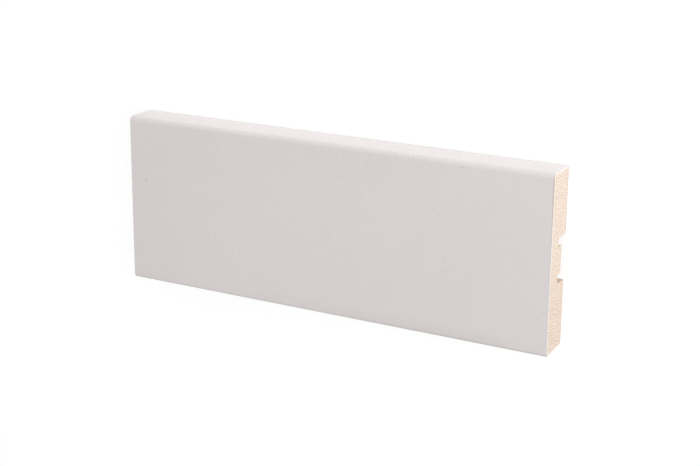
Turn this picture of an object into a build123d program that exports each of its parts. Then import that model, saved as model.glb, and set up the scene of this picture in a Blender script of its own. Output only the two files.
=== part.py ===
from build123d import *
from math import hypot
import os

# A short length of white cover strip: a milled fibreboard core, wrapped in a thin finish foil.
# It lies on its back with the finished face up. X runs along the strip, Y runs from its bottom edge
# to its top edge, and Z runs from the back to the face. The origin is under the middle of the strip.
# All sizes are in millimetres.

# Overall size of the finished strip
strip_length = 185.0
strip_height = 70.0
strip_thickness = 15.0

# Finish foil, which stops a little short of the back so that it can't catch on the wall
foil_thickness = 0.4
foil_setback = 0.5

# Edges of the fibreboard under the foil
top_edge_radius = 1.6
bottom_edge_radius = 1.0
bottom_relief = 0.3    # rise of the bottom edge from the face to the back, so that the face meets the floor

# Clip channel in the back: a shallow recess with a deeper groove along each side
lower_land = 26.25    # height of the flat back below the channel, down to the strip's lowest edge
channel_height = 17.75
recess_depth = 4.0
groove_width = 3.5
upper_groove_depth = 7.5
lower_groove_depth = 7.1
groove_root_radius = 1.2    # inner corner that the cutter leaves at the top of the upper groove
lip_radius = 0.9    # outer corners between the flat back and the channel

# Slope of the bottom edge, and how far its sharp corner would lie below the rounded one
relief_slope = bottom_relief / strip_thickness
relief_stretch = hypot(1, relief_slope)
corner_drop = (bottom_edge_radius + foil_thickness) * (relief_slope + relief_stretch - 1)

# Levels that several outlines share
bottom_level = -strip_height / 2
top_level = strip_height / 2
channel_bottom = bottom_level + lower_land
channel_top = channel_bottom + channel_height


def bottom_line(depth, inset):
    # Level of the sloping bottom edge at a height above the back, moved square to the edge by inset
    rise = relief_slope * (strip_thickness - depth)
    return bottom_level - corner_drop + rise + inset * relief_stretch


def outline(*corners):
    # Flat section with straight sides between its corners, each given as a level and a depth
    return make_face(Polyline(*corners, close=True))


def rounded(section, level, depth, radius):
    # The section with its corner nearest to a level and a depth rounded
    corner = section.vertices().sort_by_distance((level, depth))[0]
    return fillet(corner, radius)


def blank(layer):
    # Section of the strip with a layer taken off its three finished sides, and its front edges rounded
    top = top_level - layer
    face = strip_thickness - layer
    section = outline((top, 0), (top, face), (bottom_line(face, layer), face), (bottom_line(0, layer), 0))
    section = rounded(section, top, face, top_edge_radius + foil_thickness - layer)
    return rounded(section, bottom_level, face, bottom_edge_radius + foil_thickness - layer)


def clip_channel():
    # Section of the recess and its two grooves, open at the back
    lower_groove_top = channel_bottom + groove_width
    upper_groove_bottom = channel_top - groove_width
    section = outline(
        (channel_bottom, 0),
        (channel_bottom, lower_groove_depth),
        (lower_groove_top, lower_groove_depth),
        (lower_groove_top, recess_depth),
        (upper_groove_bottom, recess_depth),
        (upper_groove_bottom, upper_groove_depth),
        (channel_top, upper_groove_depth),
        (channel_top, 0),
    )
    return rounded(section, channel_top, upper_groove_depth, groove_root_radius)


def run_of(section):
    # The section run along the whole strip, half to each side of its middle
    return extrude(Plane.YZ * section, amount=strip_length / 2, both=True)


# Fibreboard with the channel milled out of its back and the lips of the channel eased
board_section = blank(foil_thickness) - clip_channel()
board_section = rounded(board_section, channel_top, 0, lip_radius)
board_section = rounded(board_section, channel_bottom, 0, lip_radius)
core = run_of(board_section)

# Foil between the finished outline and the fibreboard, cut back along the wall side
wall_side = outline(
    (bottom_level, 0),
    (bottom_level, foil_setback),
    (top_level, foil_setback),
    (top_level, 0),
)
foil = run_of(blank(0) - blank(foil_thickness) - wall_side)

os.makedirs("parts", exist_ok=True)
export_step(core, "parts/mdf_core.step")
export_step(foil, "parts/finish_foil.step")
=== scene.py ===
import math

import bmesh
import bpy
from mathutils import Euler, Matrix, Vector, noise


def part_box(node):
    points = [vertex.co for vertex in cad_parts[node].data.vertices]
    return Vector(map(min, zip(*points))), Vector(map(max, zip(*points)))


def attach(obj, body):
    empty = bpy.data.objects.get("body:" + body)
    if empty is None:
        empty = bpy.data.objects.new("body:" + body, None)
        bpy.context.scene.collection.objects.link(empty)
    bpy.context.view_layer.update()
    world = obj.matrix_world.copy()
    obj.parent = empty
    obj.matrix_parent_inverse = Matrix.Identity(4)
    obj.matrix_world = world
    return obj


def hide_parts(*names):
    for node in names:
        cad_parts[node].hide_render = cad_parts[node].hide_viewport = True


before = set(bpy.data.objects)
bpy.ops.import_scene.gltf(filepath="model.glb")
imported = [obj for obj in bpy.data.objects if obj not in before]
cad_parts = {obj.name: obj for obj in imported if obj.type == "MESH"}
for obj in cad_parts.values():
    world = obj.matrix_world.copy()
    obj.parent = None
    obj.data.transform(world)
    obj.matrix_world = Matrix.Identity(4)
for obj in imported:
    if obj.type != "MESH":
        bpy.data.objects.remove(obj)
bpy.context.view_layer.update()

mm = 0.001    # sizes are written in millimetres, the scene is in metres
boardLow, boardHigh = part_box("mdf_core")
foilLow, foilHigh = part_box("finish_foil")
foilThickness = foilHigh.z - boardHigh.z
endReach = boardHigh.x    # the ends stand this far from the middle
print("frame loaded:", ", ".join(sorted(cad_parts)))


# Helpers for node trees

def tone(red, green, blue):
    # a colour written as it looks on screen, from 0 to 255, made linear by the sRGB curve
    def linear(level):
        share = level / 255
        return share / 12.92 if share <= 0.04045 else ((share + 0.055) / 1.055) ** 2.4
    return (linear(red), linear(green), linear(blue), 1.0)


def feed(tree, socket, source):
    # a socket takes a link or a plain value
    if isinstance(source, bpy.types.NodeSocket):
        tree.links.new(source, socket)
    else:
        socket.default_value = source


def feedInOrder(tree, sockets, sources):
    for socket, source in zip(sockets, sources):
        feed(tree, socket, source)


def addNode(tree, kind, inputs=None, settings=None):
    # a node with its settings, and with a link or a value for each named input
    made = tree.nodes.new(kind)
    for name, value in (settings or {}).items():
        setattr(made, name, value)
    for name, source in (inputs or {}).items():
        feed(tree, made.inputs[name], source)
    return made


def calc(tree, operation, *sources):
    made = addNode(tree, "ShaderNodeMath", settings={"operation": operation})
    feedInOrder(tree, made.inputs, sources)
    return made.outputs["Value"]


def vectorCalc(tree, operation, *sources):
    made = addNode(tree, "ShaderNodeVectorMath", settings={"operation": operation})
    feedInOrder(tree, made.inputs, sources)
    return made.outputs["Value" if operation == "DISTANCE" else "Vector"]


def splitAxes(tree, vector):
    return addNode(tree, "ShaderNodeSeparateXYZ", {"Vector": vector}).outputs


def ramp(tree, value, start, end, low=0.0, high=1.0):
    # a smooth step from low at start to high at end
    inputs = {"Value": value, "From Min": start, "From Max": end, "To Min": low, "To Max": high}
    made = addNode(tree, "ShaderNodeMapRange", inputs, {"interpolation_type": "SMOOTHSTEP"})
    return made.outputs["Result"]


def addNoise(tree, place, scale, detail, roughness):
    inputs = {"Vector": place, "Scale": scale, "Detail": detail, "Roughness": roughness}
    return addNode(tree, "ShaderNodeTexNoise", inputs).outputs["Fac"]


def blendColours(tree, factor, first, second):
    made = addNode(tree, "ShaderNodeMix", settings={"data_type": "RGBA"})
    sockets = (made.inputs[0], made.inputs[6], made.inputs[7])    # the factor and the two colours
    feedInOrder(tree, sockets, (factor, first, second))
    return made.outputs[2]    # the blended colour


def newGroup(name, kind, inputs, outputs):
    # an empty node group with named sockets
    tree = bpy.data.node_groups.new(name, kind)
    for way, sockets in (("INPUT", inputs), ("OUTPUT", outputs)):
        for label, socketKind in sockets.items():
            tree.interface.new_socket(label, in_out=way, socket_type="NodeSocket" + socketKind)
    return tree, addNode(tree, "NodeGroupInput").outputs, addNode(tree, "NodeGroupOutput").inputs


def useGroup(tree, group, inputs):
    return addNode(tree, "ShaderNodeGroup", inputs, {"node_tree": group}).outputs


# Shader groups that several finishes share

noiseSpan = (0.3, 0.7)    # most values of a noise texture lie between these
feltSpan = (0.36, 0.64)    # a narrower span, which parts deep and pale fibres more clearly


def makeLayeredFibres():
    # fibres pressed flat: long across the board's faces, thin through its thickness
    tree, given, result = newGroup(
        "layeredFibres", "ShaderNodeTree",
        {"Position": "Vector", "Fibre Length": "Float", "Fibre Thickness": "Float"},
        {"Tone": "Float", "Height": "Float"},
    )
    along = calc(tree, "DIVIDE", 1.0, given["Fibre Length"])
    through = calc(tree, "DIVIDE", 1.0, given["Fibre Thickness"])
    stretch = addNode(tree, "ShaderNodeCombineXYZ", {"X": along, "Y": along, "Z": through})
    place = vectorCalc(tree, "MULTIPLY", given["Position"], stretch.outputs["Vector"])
    felt = addNoise(tree, place, scale=1.0, detail=3.0, roughness=0.62)
    feed(tree, result["Tone"], ramp(tree, felt, *feltSpan))
    feed(tree, result["Height"], felt)
    return tree


def makeFlecks():
    # scattered round flecks, one at most in each cell
    tree, given, result = newGroup(
        "flecks", "ShaderNodeTree",
        {
            "Position": "Vector",
            "Spacing": "Float",
            "Radius": "Float",
            "Share": "Float",    # share of the cells that hold a fleck
            "Offset": "Vector",    # moves the cells, so that two sets of flecks differ
        },
        {"Mask": "Float"},
    )
    place = vectorCalc(tree, "ADD", given["Position"], given["Offset"])
    scale = calc(tree, "DIVIDE", 1.0, given["Spacing"])
    cells = addNode(tree, "ShaderNodeTexVoronoi", {"Vector": place, "Scale": scale}).outputs
    reach = calc(tree, "MULTIPLY", cells["Distance"], given["Spacing"])
    lot = addNode(tree, "ShaderNodeSeparateColor", {"Color": cells["Color"]}).outputs
    # sizes run from half the radius to one and a half, and only the inner 0.4 of a fleck is full
    size = calc(tree, "MULTIPLY", given["Radius"], calc(tree, "ADD", 0.5, lot["Green"]))
    spot = ramp(tree, reach, size, calc(tree, "MULTIPLY", size, 0.4))
    chosen = calc(tree, "LESS_THAN", lot["Red"], given["Share"])
    feed(tree, result["Mask"], calc(tree, "MULTIPLY", spot, chosen))
    return tree


def makePaperGrain():
    # fine unevenness of a printed paper foil, and slow drifts of its tone
    tree, given, result = newGroup(
        "paperGrain", "ShaderNodeTree",
        {"Position": "Vector", "Grain Size": "Float", "Drift Size": "Float"},
        {"Grain": "Float", "Drift": "Float"},
    )
    fineScale = calc(tree, "DIVIDE", 1.0, given["Grain Size"])
    slowScale = calc(tree, "DIVIDE", 1.0, given["Drift Size"])
    fine = addNoise(tree, given["Position"], fineScale, detail=2.0, roughness=0.55)
    slow = addNoise(tree, given["Position"], slowScale, detail=1.0, roughness=0.5)
    feed(tree, result["Grain"], fine)
    feed(tree, result["Drift"], slow)
    return tree


layeredFibres = makeLayeredFibres()
flecks = makeFlecks()
paperGrain = makePaperGrain()
print("shared shader groups made")


# Finishes

def startMaterial(name):
    # a material with a Principled shader, and the piece's own coordinates
    material = bpy.data.materials.new(name)
    material.use_nodes = True
    tree = material.node_tree
    shader = tree.nodes["Principled BSDF"]
    position = addNode(tree, "ShaderNodeTexCoord").outputs["Object"]
    return material, tree, shader, position


def addBump(tree, shader, height, depth):
    bump = addNode(tree, "ShaderNodeBump", {"Height": height, "Strength": 1.0, "Distance": depth})
    feed(tree, shader.inputs["Normal"], bump.outputs["Normal"])


foilFinish = {
    "white": tone(228, 222, 221),
    "shade": tone(222, 216, 215),    # the darker side of its grain and slow drifts
    "grainSize": 1.3 * mm,
    "grainDepth": 0.04 * mm,
    "grainShare": 0.45,    # part of the change in tone that follows the grain
    "driftSize": 40 * mm,
    "driftShare": 0.25,    # and the part that follows the slow drifts
    "roughness": (0.32, 0.4),
    "endDarkLine": tone(188, 160, 140),    # dark brown line on the face, along the right end
    "endDarkLineWidth": 0.7 * mm,
    "endDarkLineStart": -5 * mm,    # level up the face from which it gets stronger
    "endDarkLineStrength": (0.03, 0.9),    # below that level, and at the top edge
    "dirtAndShadeTone": tone(150, 144, 140),    # colour of the dirt specks, and of the painted shade along the bottom edge
    "lineWidth": 1.0 * mm,    # painted contact shadow: a dark line along the bottom edge of the face
    "lineSpan": (0.0, 80 * mm),    # stretch of the strip over which it gets stronger
    "lineStrength": (0.05, 0.65),
    "lineBreakSize": 4 * mm,    # size of the patches where the painted shadow line is weaker
    "lineBreakSpan": (0.35, 0.6),    # values of the grain where the painted line is weakest, and where it is whole
    "lineBreakStrength": (0.55, 1.0),
    "lowShadeWidth": 7 * mm,    # painted shade above the line: the face gets darker towards its bottom edge
    "lowShadeSpan": (-60 * mm, 60 * mm),    # stretch of the strip over which it gets stronger
    "lowShadeStrength": (0.03, 0.13),
    "lowShadeFade": (8 * mm, 24 * mm),    # distances from the right end between which it fades again
    "lowShadeLeft": 0.3,    # and the share of it that is left at the end
    "bottomShadeDepth": (1.5 * mm, 0.6 * mm),    # depths below the face where the painted line and shade end and are full
    "speckCore": 0.25,    # share of a speck's radius that is fully dark
    "specks": [    # level along the strip, level up the face, height, radius, strength
        (-85.0 * mm, 8.9 * mm, 15 * mm, 1.0 * mm, 0.19),
        (50.3 * mm, -4.2 * mm, 15 * mm, 0.8 * mm, 0.155),
        (45.2 * mm, 15.4 * mm, 15 * mm, 0.65 * mm, 0.1),
        (56.8 * mm, 33.0 * mm, 15 * mm, 0.7 * mm, 0.27),
        (58.4 * mm, 33.0 * mm, 15 * mm, 0.5 * mm, 0.16),
        (59.9 * mm, 32.9 * mm, 15 * mm, 0.65 * mm, 0.12),
        (53.2 * mm, 33.3 * mm, 15 * mm, 0.55 * mm, 0.13),
        (46.4 * mm, 33.4 * mm, 15 * mm, 0.5 * mm, 0.12),
        (36.8 * mm, 34.0 * mm, 14.7 * mm, 0.45 * mm, 0.36),
        (-38.9 * mm, 28.8 * mm, 15 * mm, 0.5 * mm, 0.1),
        (39.5 * mm, -32.2 * mm, 15 * mm, 0.6 * mm, 0.1),
        (-70.8 * mm, 35 * mm, 7.1 * mm, 0.55 * mm, 0.16),
    ],
}


def endDarkLineMask(tree, axes, toEnd):
    # a darker line on the face along the right end, stronger towards the top edge
    onFace = ramp(tree, axes["Z"], foilHigh.z - foilThickness, foilHigh.z)
    nearEndLine = calc(tree, "MULTIPLY", onFace, ramp(tree, toEnd, foilFinish["endDarkLineWidth"], 0.0))
    upward = ramp(tree, axes["Y"], foilFinish["endDarkLineStart"], foilHigh.y, *foilFinish["endDarkLineStrength"])
    return calc(tree, "MULTIPLY", nearEndLine, upward)


def paintedShadowLine(tree, position, axes):
    # painted shadow: a dark line along the bottom edge, weaker in patches
    line = ramp(tree, axes["Y"], foilLow.y + foilFinish["lineWidth"], foilLow.y)
    lineBreaks = useGroup(tree, paperGrain, {"Position": position, "Grain Size": foilFinish["lineBreakSize"]})
    kept = ramp(tree, lineBreaks["Grain"], *foilFinish["lineBreakSpan"], *foilFinish["lineBreakStrength"])
    strength = ramp(tree, axes["X"], *foilFinish["lineSpan"], *foilFinish["lineStrength"])
    return calc(tree, "MULTIPLY", calc(tree, "MULTIPLY", line, kept), strength)


def paintedLowShade(tree, axes, toEnd):
    # painted shade: the face darker towards its bottom edge, more so to the right
    lowShade = ramp(tree, axes["Y"], foilLow.y + foilFinish["lowShadeWidth"], foilLow.y)
    strength = ramp(tree, axes["X"], *foilFinish["lowShadeSpan"], *foilFinish["lowShadeStrength"])
    fade = ramp(tree, toEnd, *foilFinish["lowShadeFade"], foilFinish["lowShadeLeft"], 1.0)
    return calc(tree, "MULTIPLY", calc(tree, "MULTIPLY", lowShade, strength), fade)


def shadeAndDirtMask(tree, position, axes, toEnd):
    # painted shade along the bottom edge of the face, and dirt specks
    bottomShade = calc(tree, "ADD", paintedLowShade(tree, axes, toEnd), paintedShadowLine(tree, position, axes))
    endDepth, fullDepth = foilFinish["bottomShadeDepth"]
    nearFace = ramp(tree, axes["Z"], foilHigh.z - endDepth, foilHigh.z - fullDepth)
    shadeAndDirt = calc(tree, "MULTIPLY", bottomShade, nearFace)
    for along, up, height, radius, strength in foilFinish["specks"]:
        reach = vectorCalc(tree, "DISTANCE", position, (along, up, height))
        speck = ramp(tree, reach, radius, foilFinish["speckCore"] * radius, 0.0, strength)
        shadeAndDirt = calc(tree, "MAXIMUM", shadeAndDirt, speck)
    return shadeAndDirt


def makeWhiteFoil():
    material, tree, shader, position = startMaterial("whiteFoil")
    grain = useGroup(tree, paperGrain, {
        "Position": position,
        "Grain Size": foilFinish["grainSize"],
        "Drift Size": foilFinish["driftSize"],
    })
    fine = calc(tree, "MULTIPLY", ramp(tree, grain["Grain"], *noiseSpan), foilFinish["grainShare"])
    slow = calc(tree, "MULTIPLY", ramp(tree, grain["Drift"], *noiseSpan), foilFinish["driftShare"])
    colour = blendColours(tree, calc(tree, "ADD", fine, slow), foilFinish["white"], foilFinish["shade"])
    axes = splitAxes(tree, position)
    toEnd = calc(tree, "SUBTRACT", endReach, axes["X"])
    colour = blendColours(tree, endDarkLineMask(tree, axes, toEnd), colour, foilFinish["endDarkLine"])
    # painted shade along the bottom edge, and dirt specks
    colour = blendColours(tree, shadeAndDirtMask(tree, position, axes, toEnd), colour, foilFinish["dirtAndShadeTone"])
    feed(tree, shader.inputs["Base Color"], colour)
    rough = ramp(tree, grain["Grain"], *noiseSpan, *foilFinish["roughness"])
    feed(tree, shader.inputs["Roughness"], rough)
    addBump(tree, shader, grain["Grain"], foilFinish["grainDepth"])
    return material


cutFoil = {
    "white": tone(254, 248, 243),    # paper of the foil, which shows where it is cut
    "shade": tone(248, 240, 234),
    "shadeSpan": (0.35, 0.65),
    "grainSize": 0.3 * mm,
    "grainDepth": 0.02 * mm,
    "driftSize": 3 * mm,
    "roughness": 0.7,
}


def makeCutFoil():
    material, tree, shader, position = startMaterial("cutFoil")
    grain = useGroup(tree, paperGrain, {
        "Position": position,
        "Grain Size": cutFoil["grainSize"],
        "Drift Size": cutFoil["driftSize"],
    })
    shaded = ramp(tree, grain["Drift"], *cutFoil["shadeSpan"])
    colour = blendColours(tree, shaded, cutFoil["white"], cutFoil["shade"])
    feed(tree, shader.inputs["Base Color"], colour)
    shader.inputs["Roughness"].default_value = cutFoil["roughness"]
    addBump(tree, shader, grain["Grain"], cutFoil["grainDepth"])
    return material


def addFlecks(tree, position, colour, kind):
    # flecks of another tone over a colour
    mask = useGroup(tree, flecks, {"Position": position, **kind["spread"]})["Mask"]
    return blendColours(tree, calc(tree, "MULTIPLY", mask, kind["strength"]), colour, kind["tone"])


bundleTone = tone(176, 146, 122)    # dark bundles of fibre
sawnBoard = {
    "pale": tone(255, 242, 231),
    "deep": tone(215, 192, 170),
    "lowerShadeSpan": (5 * mm, -20 * mm),    # levels between which painted shade darkens the end, going down
    "lowerShadeGain": 0.15,
    "fibreLength": 0.7 * mm,
    "fibreThickness": 0.45 * mm,
    "fibreDepth": 0.12 * mm,
    "roughness": (0.82, 0.95),
    "chips": {
        "tone": tone(255, 245, 233),
        "strength": 0.6,
        "spread": {
            "Spacing": 1.3 * mm, "Radius": 0.28 * mm, "Share": 0.5,
            "Offset": (13 * mm, 21 * mm, 8 * mm),
        },
    },
    "bundles": {
        "tone": bundleTone,
        "strength": 0.8,
        "spread": {"Spacing": 1.9 * mm, "Radius": 0.3 * mm, "Share": 0.4},
    },
    "rim": tone(247, 236, 228),    # paler band along the edges of the cut
    "rimWidth": 0.9 * mm,
    "rimStrength": 0.8,
}


def makeSawnBoard():
    material, tree, shader, position = startMaterial("sawnBoard")
    fibres = useGroup(tree, layeredFibres, {
        "Position": position,
        "Fibre Length": sawnBoard["fibreLength"],
        "Fibre Thickness": sawnBoard["fibreThickness"],
    })
    axes = splitAxes(tree, position)
    # painted shade: the sawn end gets darker towards its lower edge
    paintedLowerShade = ramp(tree, axes["Y"], *sawnBoard["lowerShadeSpan"], 0.0, sawnBoard["lowerShadeGain"])
    paleShare = calc(tree, "SUBTRACT", fibres["Tone"], paintedLowerShade)
    colour = blendColours(tree, paleShare, sawnBoard["deep"], sawnBoard["pale"])
    colour = addFlecks(tree, position, colour, sawnBoard["chips"])
    colour = addFlecks(tree, position, colour, sawnBoard["bundles"])
    toFace = calc(tree, "SUBTRACT", boardHigh.z, axes["Z"])
    toBack = calc(tree, "SUBTRACT", axes["Z"], boardLow.z)
    toEdges = calc(tree, "SUBTRACT", boardHigh.y, calc(tree, "ABSOLUTE", axes["Y"]))
    toRim = calc(tree, "MINIMUM", calc(tree, "MINIMUM", toFace, toBack), toEdges)
    rim = ramp(tree, toRim, sawnBoard["rimWidth"], 0.0, 0.0, sawnBoard["rimStrength"])
    feed(tree, shader.inputs["Base Color"], blendColours(tree, rim, colour, sawnBoard["rim"]))
    rough = ramp(tree, fibres["Height"], *noiseSpan, *sawnBoard["roughness"])
    feed(tree, shader.inputs["Roughness"], rough)
    addBump(tree, shader, fibres["Height"], sawnBoard["fibreDepth"])
    return material


milledBoard = {
    "pale": tone(243, 224, 203),
    "deep": tone(228, 207, 185),
    "fibreLength": 1.6 * mm,
    "fibreThickness": 0.45 * mm,
    "roughness": (0.72, 0.88),
    "bundles": {
        "tone": bundleTone,
        "strength": 0.6,
        "spread": {
            "Spacing": 2.4 * mm, "Radius": 0.3 * mm, "Share": 0.4,
            "Offset": (5 * mm, 2 * mm, 11 * mm),
        },
    },
    "knifePitch": 1.4 * mm,    # ripple that the milling knives leave along the strip
    "knifeShare": 0.4,    # its height, beside that of the fibres
    "reliefDepth": 0.05 * mm,
}


def makeMilledBoard():
    material, tree, shader, position = startMaterial("milledBoard")
    fibres = useGroup(tree, layeredFibres, {
        "Position": position,
        "Fibre Length": milledBoard["fibreLength"],
        "Fibre Thickness": milledBoard["fibreThickness"],
    })
    colour = blendColours(tree, fibres["Tone"], milledBoard["deep"], milledBoard["pale"])
    colour = addFlecks(tree, position, colour, milledBoard["bundles"])
    feed(tree, shader.inputs["Base Color"], colour)
    rough = ramp(tree, fibres["Height"], *noiseSpan, *milledBoard["roughness"])
    feed(tree, shader.inputs["Roughness"], rough)
    scale = math.pi / 10 / milledBoard["knifePitch"]    # at scale 1 the bands are pi / 10 apart
    knives = addNode(
        tree, "ShaderNodeTexWave",
        {"Vector": position, "Scale": scale, "Distortion": 0.4, "Detail": 1.0},
        {"wave_type": "BANDS", "bands_direction": "X"},
    )
    ripple = calc(tree, "MULTIPLY", knives.outputs["Fac"], milledBoard["knifeShare"])
    addBump(tree, shader, calc(tree, "ADD", fibres["Height"], ripple), milledBoard["reliefDepth"])
    return material


# Section of the strip, run along its length

stripSection = {
    "topEdgeRadius": 2.0 * mm,    # finished edges, over the foil
    "bottomEdgeRadius": 1.4 * mm,
    "bottomRelief": 0.3 * mm,    # rise of the bottom edge from the face to the back
    "arrisRadius": 0.12 * mm,    # edges that are left sharp
    "arcSteps": 12,
    "slicePitch": 2.5 * mm,
}
clipChannel = {
    "bottomLevel": -8.75 * mm,
    "topLevel": 9.0 * mm,
    "recessDepth": 4.0 * mm,
    "grooveWidth": 3.5 * mm,
    "upperGrooveDepth": 7.5 * mm,
    "lowerGrooveDepth": 7.1 * mm,
    "grooveRootRadius": 1.2 * mm,
    "lipRadius": 0.9 * mm,
}


def bottomLine(height, inset):
    # level of the sloping bottom edge at a height above the back, moved square to itself by inset
    slope = stripSection["bottomRelief"] / foilHigh.z
    stretch = math.hypot(1, slope)
    drop = stripSection["bottomEdgeRadius"] * (slope + stretch - 1)
    return foilLow.y - drop + slope * (foilHigh.z - height) + inset * stretch


def finishedSides(inset, foot):
    # corners from the top edge round the face to the bottom edge: level, height, radius
    arris = stripSection["arrisRadius"]
    top = foilHigh.y - inset
    face = foilHigh.z - inset
    return [
        (top, foot, arris),
        (top, face, stripSection["topEdgeRadius"] - inset),
        (bottomLine(face, inset), face, stripSection["bottomEdgeRadius"] - inset),
        (bottomLine(foot, inset), foot, arris),
    ]


def channelCorners():
    # corners of the clip channel from its bottom to its top: level, height, radius
    arris = stripSection["arrisRadius"]
    bottom, top = clipChannel["bottomLevel"], clipChannel["topLevel"]
    recess = clipChannel["recessDepth"]
    lowerFloor, upperFloor = clipChannel["lowerGrooveDepth"], clipChannel["upperGrooveDepth"]
    lowerStep = bottom + clipChannel["grooveWidth"]
    upperStep = top - clipChannel["grooveWidth"]
    return [
        (bottom, boardLow.z, clipChannel["lipRadius"]),
        (bottom, lowerFloor, arris),
        (lowerStep, lowerFloor, arris),
        (lowerStep, recess, arris),
        (upperStep, recess, arris),
        (upperStep, upperFloor, arris),
        (top, upperFloor, clipChannel["grooveRootRadius"]),
        (top, boardLow.z, clipChannel["lipRadius"]),
    ]


def makeRunTree():
    # Geometry Nodes: rounds the corners of a section and runs it along the strip
    tree, given, result = newGroup(
        "sectionRun", "GeometryNodeTree",
        {
            "Section": "Geometry",
            "Length": "Float",
            "Arc Steps": "Int",
            "Slice Pitch": "Float",
            "Finish": "Material",
        },
        {"Strip": "Geometry"},
    )
    loop = addNode(tree, "GeometryNodeMeshToCurve", {"Mesh": given["Section"]})
    radius = addNode(
        tree, "GeometryNodeInputNamedAttribute", {"Name": "cornerRadius"}, {"data_type": "FLOAT"},
    )
    rounded = addNode(
        tree, "GeometryNodeFilletCurve",
        {
            "Curve": loop.outputs["Curve"],
            "Count": given["Arc Steps"],
            "Radius": radius.outputs["Attribute"],
            "Limit Radius": True,
        },
        {"mode": "POLY"},
    )
    halfLength = calc(tree, "MULTIPLY", given["Length"], 0.5)
    start = addNode(tree, "ShaderNodeCombineXYZ", {"X": calc(tree, "MULTIPLY", halfLength, -1.0)})
    end = addNode(tree, "ShaderNodeCombineXYZ", {"X": halfLength})
    line = addNode(
        tree, "GeometryNodeCurvePrimitiveLine",
        {"Start": start.outputs["Vector"], "End": end.outputs["Vector"]},
    )
    sliced = addNode(
        tree, "GeometryNodeResampleCurve",
        {"Curve": line.outputs["Curve"], "Length": given["Slice Pitch"]}, {"mode": "LENGTH"},
    )
    upright = addNode(
        tree, "GeometryNodeSetCurveNormal", {"Curve": sliced.outputs["Curve"]}, {"mode": "Z_UP"},
    )
    turned = addNode(
        tree, "GeometryNodeSetCurveTilt", {"Curve": upright.outputs["Curve"], "Tilt": math.pi},
    )
    run = addNode(
        tree, "GeometryNodeCurveToMesh",
        {
            "Curve": turned.outputs["Curve"],
            "Profile Curve": rounded.outputs["Curve"],
            "Fill Caps": True,
        },
    )
    real = addNode(tree, "GeometryNodeRealizeInstances", {"Geometry": run.outputs["Mesh"]})
    finished = addNode(
        tree, "GeometryNodeSetMaterial",
        {"Geometry": real.outputs["Geometry"], "Material": given["Finish"]},
    )
    feed(tree, result["Strip"], finished.outputs["Geometry"])
    return tree


def applyTree(piece, tree, values):
    # runs a Geometry Nodes tree on a piece and keeps its result as a plain mesh
    modifier = piece.modifiers.new(tree.name, "NODES")
    modifier.node_group = tree
    for item in tree.interface.items_tree:
        if item.in_out == "INPUT" and item.name in values:
            modifier[item.identifier] = values[item.name]
    depsgraph = bpy.context.evaluated_depsgraph_get()
    made = bpy.data.meshes.new_from_object(piece.evaluated_get(depsgraph), depsgraph=depsgraph)
    piece.modifiers.remove(modifier)
    source = piece.data
    piece.data = made
    bpy.data.meshes.remove(source)
    made.name = piece.name


def makeRun(name, corners, runTree, finish):
    # a closed section, run along the strip
    count = len(corners)
    section = bpy.data.meshes.new(name)
    section.from_pydata(
        [(level, height, 0.0) for level, height, radius in corners],
        [(index, (index + 1) % count) for index in range(count)],
        [],
    )
    radii = section.attributes.new("cornerRadius", "FLOAT", "POINT")
    radii.data.foreach_set("value", [radius for level, height, radius in corners])
    piece = bpy.data.objects.new(name, section)
    bpy.context.scene.collection.objects.link(piece)
    applyTree(piece, runTree, {
        "Length": boardHigh.x - boardLow.x,
        "Arc Steps": stripSection["arcSteps"],
        "Slice Pitch": stripSection["slicePitch"],
        "Finish": finish,
    })
    return piece


# Sawn ends

sawnEnds = {
    "cell": 0.5 * mm,    # size of the board's end faces, which carry the relief
    "boardDepth": 0.09 * mm,    # deepest hollow that the saw leaves in the board
    "boardGrain": 0.9 * mm,
    "foilDepth": 0.05 * mm,    # raggedness of the cut foil
    "foilGrain": 1.7 * mm,
    "flattening": 1.8,    # hollows are this much narrower through the thickness
    "sideStep": 3.7,    # parts the patterns of the two ends
    "fractal": (0.8, 2.0, 3),    # smoothness, step of scale and octaves of the hollows
    "mergeReach": 0.0001 * mm,
    "sharpAngle": 40,    # degrees between faces past which their edge stays sharp
}


def isEnd(face):
    return abs(face.normal.x) > 0.9    # square to the length, near enough


def sliceEnds(mesh):
    # divides the end faces into small cells, with the walls beside them kept closed
    cuts = []
    for axis, low, high in ((1, boardLow.y, boardHigh.y), (2, boardLow.z, boardHigh.z)):
        count = round((high - low) / sawnEnds["cell"])
        square = Vector((0, axis == 1, axis == 2))
        cuts += [(square, square * (low + (high - low) * step / count)) for step in range(1, count)]
    for square, point in cuts:
        ends = [face for face in mesh.faces if isEnd(face)]
        edges = [edge for face in ends for edge in face.edges]
        vertices = [vertex for face in ends for vertex in face.verts]
        once = list(dict.fromkeys(ends + edges + vertices))
        bmesh.ops.bisect_plane(
            mesh, geom=once, dist=sawnEnds["mergeReach"], plane_co=point, plane_no=square,
        )


def roughenEnds(mesh, depth, grain):
    # pushes the points of both ends inwards, unevenly
    points = {vertex for face in mesh.faces if isEnd(face) for vertex in face.verts}
    for vertex in points:
        side = math.copysign(1.0, vertex.co.x)
        across = sawnEnds["flattening"] * vertex.co.z / grain
        place = Vector((side * sawnEnds["sideStep"], vertex.co.y / grain, across))
        hollow = 0.5 + 0.5 * noise.fractal(place, *sawnEnds["fractal"])    # mostly from 0 to 1
        vertex.co.x = side * (endReach - depth * min(1.0, max(0.0, hollow)))


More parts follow.
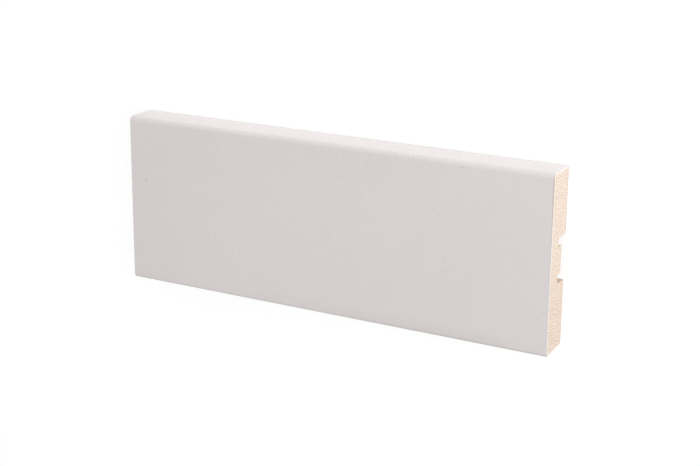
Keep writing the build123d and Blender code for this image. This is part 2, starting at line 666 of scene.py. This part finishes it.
def finishRun(piece, endFinish, depth, grain, inCells):
    # roughens the ends, gives them their own finish and smooths the long faces
    mesh = bmesh.new()
    mesh.from_mesh(piece.data)
    bmesh.ops.remove_doubles(mesh, verts=mesh.verts, dist=sawnEnds["mergeReach"])
    mesh.normal_update()
    if inCells:
        sliceEnds(mesh)
    ends = [face for face in mesh.faces if isEnd(face)]
    for face in ends:
        face.material_index = 1
    roughenEnds(mesh, depth, grain)
    bmesh.ops.recalc_face_normals(mesh, faces=mesh.faces)
    mesh.to_mesh(piece.data)
    mesh.free()
    piece.data.materials.append(endFinish)
    piece.data.shade_smooth()
    piece.data.set_sharp_from_angle(angle=math.radians(sawnEnds["sharpAngle"]))


# Pieces

runTree = makeRunTree()

fibreboard = makeRun(
    "fibreboard_core",
    finishedSides(foilThickness, boardLow.z) + channelCorners(),
    runTree,
    makeMilledBoard(),
)
finishRun(fibreboard, makeSawnBoard(), sawnEnds["boardDepth"], sawnEnds["boardGrain"], inCells=True)
print("fibreboard core made:", len(fibreboard.data.polygons), "faces")

foil = makeRun(
    "white_foil_wrap",
    finishedSides(0.0, foilLow.z) + finishedSides(foilThickness, foilLow.z)[::-1],
    runTree,
    makeWhiteFoil(),
)
finishRun(foil, makeCutFoil(), sawnEnds["foilDepth"], sawnEnds["foilGrain"], inCells=False)
print("foil made:", len(foil.data.polygons), "faces")

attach(fibreboard, "root")
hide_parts("mdf_core")
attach(foil, "root")
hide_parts("finish_foil")


# Studio: floor, world, lights and camera

studio = {
    "floorWidth": 8.0,
    "floorGap": 0.05 * mm,    # keeps the floor clear of the strip's flat back
    "floorWhite": (0.95, 0.95, 0.95, 1.0),
    "floorGlow": 0.75,    # share of white in the floor that is seen, the rest takes light and shadow
    "floorGlowLevel": 1.09,    # makes the open floor plain white, with its lit share
    "skyLight": 0.6,
    "skyLean": 0.3,    # the sky is brighter on the side of the strip's top edge
}
lamps = {    # place, aim and size in metres, power in watts, mirrored if the foil's gloss shows it
    "keyLamp": {
        "place": (0.6, 0.1, 0.8),
        "aim": (0, 0, 0),
        "size": (0.7, 0.7),
        "power": 3.6,
        "mirrored": True,
    },
    "topPanel": {    # lies on the floor beside the top edge, facing up
        "place": (0.08, 0.1356, 0.0005),
        "aim": (0.08, 0.1356, 1.0),
        "size": (0.36, 0.2),
        "power": 0.118,
        "mirrored": False,
    },
    "endPanel": {    # lies on the floor beside the right end, facing up
        "place": (0.1931, 0.02, 0.0005),
        "aim": (0.1931, 0.02, 1.0),
        "size": (0.2, 0.15),
        "power": 0.028,
        "mirrored": False,
    },
}


def seenDirectly(tree):
    # 1 where the camera sees a surface itself, in a reflection or through glass
    path = addNode(tree, "ShaderNodeLightPath").outputs
    direct = calc(tree, "MAXIMUM", path["Is Camera Ray"], path["Is Glossy Ray"])
    return calc(tree, "MAXIMUM", direct, path["Is Transmission Ray"])


def makeFloor():
    half = studio["floorWidth"] / 2
    level = -studio["floorGap"]
    corners = [(-half, -half, level), (half, -half, level), (half, half, level), (-half, half, level)]
    sheet = bpy.data.meshes.new("studioFloor")
    sheet.from_pydata(corners, [], [(0, 1, 2, 3)])
    floor = bpy.data.objects.new("studioFloor", sheet)
    bpy.context.scene.collection.objects.link(floor)
    material = bpy.data.materials.new("paleFloor")
    material.use_nodes = True
    tree = material.node_tree
    tree.nodes.remove(tree.nodes["Principled BSDF"])
    matt = addNode(tree, "ShaderNodeBsdfDiffuse", {"Color": studio["floorWhite"]})
    glow = addNode(
        tree, "ShaderNodeEmission", {"Color": (1, 1, 1, 1), "Strength": studio["floorGlowLevel"]},
    )
    glowing = calc(tree, "MULTIPLY", seenDirectly(tree), studio["floorGlow"])
    mixed = addNode(tree, "ShaderNodeMixShader")
    feedInOrder(tree, mixed.inputs, (glowing, matt.outputs["BSDF"], glow.outputs["Emission"]))
    feed(tree, tree.nodes["Material Output"].inputs["Surface"], mixed.outputs["Shader"])
    sheet.materials.append(material)


def makeSky():
    world = bpy.data.worlds.new("studioSky")
    world.use_nodes = True
    tree = world.node_tree
    light = tree.nodes["Background"]
    light.inputs["Color"].default_value = (1, 1, 1, 1)
    direction = addNode(tree, "ShaderNodeTexCoord").outputs["Generated"]
    side = splitAxes(tree, direction)["Y"]
    soft = calc(tree, "MULTIPLY_ADD", side, studio["skyLean"], studio["skyLight"])
    feed(tree, light.inputs["Strength"], ramp(tree, seenDirectly(tree), 0.0, 1.0, soft, 1.0))
    bpy.context.scene.world = world


def makeLamp(name, settings):
    data = bpy.data.lights.new(name, "AREA")
    data.shape = "RECTANGLE"
    data.size, data.size_y = settings["size"]
    data.energy = settings["power"]
    lamp = bpy.data.objects.new(name, data)
    lamp.location = settings["place"]
    lamp.rotation_euler = (Vector(settings["aim"]) - lamp.location).to_track_quat("-Z", "Y").to_euler()
    lamp.visible_camera = False
    lamp.visible_glossy = settings["mirrored"]
    bpy.context.scene.collection.objects.link(lamp)


makeFloor()
makeSky()
for lampName, lampSettings in lamps.items():
    makeLamp(lampName, lampSettings)
print("studio lit")

photoView = {
    "place": (254.02 * mm, 167.22 * mm, 481.42 * mm),
    "turn": (-14.791, 27.72, 0.563),    # degrees about X, Y and Z
    "focalPixels": 1424.9,    # focal length in pixels of the 700 pixel wide picture
    "shiftPixels": -63.0,    # a guess that the photo was cut from the lower part of a larger frame
    "imageWidth": 700,
    "sensorWidth": 36.0,
    "nearest": 10 * mm,    # nothing nearer than this is drawn
}


def makeCamera():
    data = bpy.data.cameras.new("photoCamera")
    data.sensor_width = photoView["sensorWidth"]
    data.lens = photoView["focalPixels"] / photoView["imageWidth"] * photoView["sensorWidth"]
    data.shift_y = photoView["shiftPixels"] / photoView["imageWidth"]
    data.clip_start = photoView["nearest"]
    camera = bpy.data.objects.new("photoCamera", data)
    camera.location = photoView["place"]
    camera.rotation_euler = Euler([math.radians(angle) for angle in photoView["turn"]], "XYZ")
    bpy.context.scene.collection.objects.link(camera)
    bpy.context.scene.camera = camera


makeCamera()
bpy.context.scene.view_settings.view_transform = "Standard"
print("camera placed")
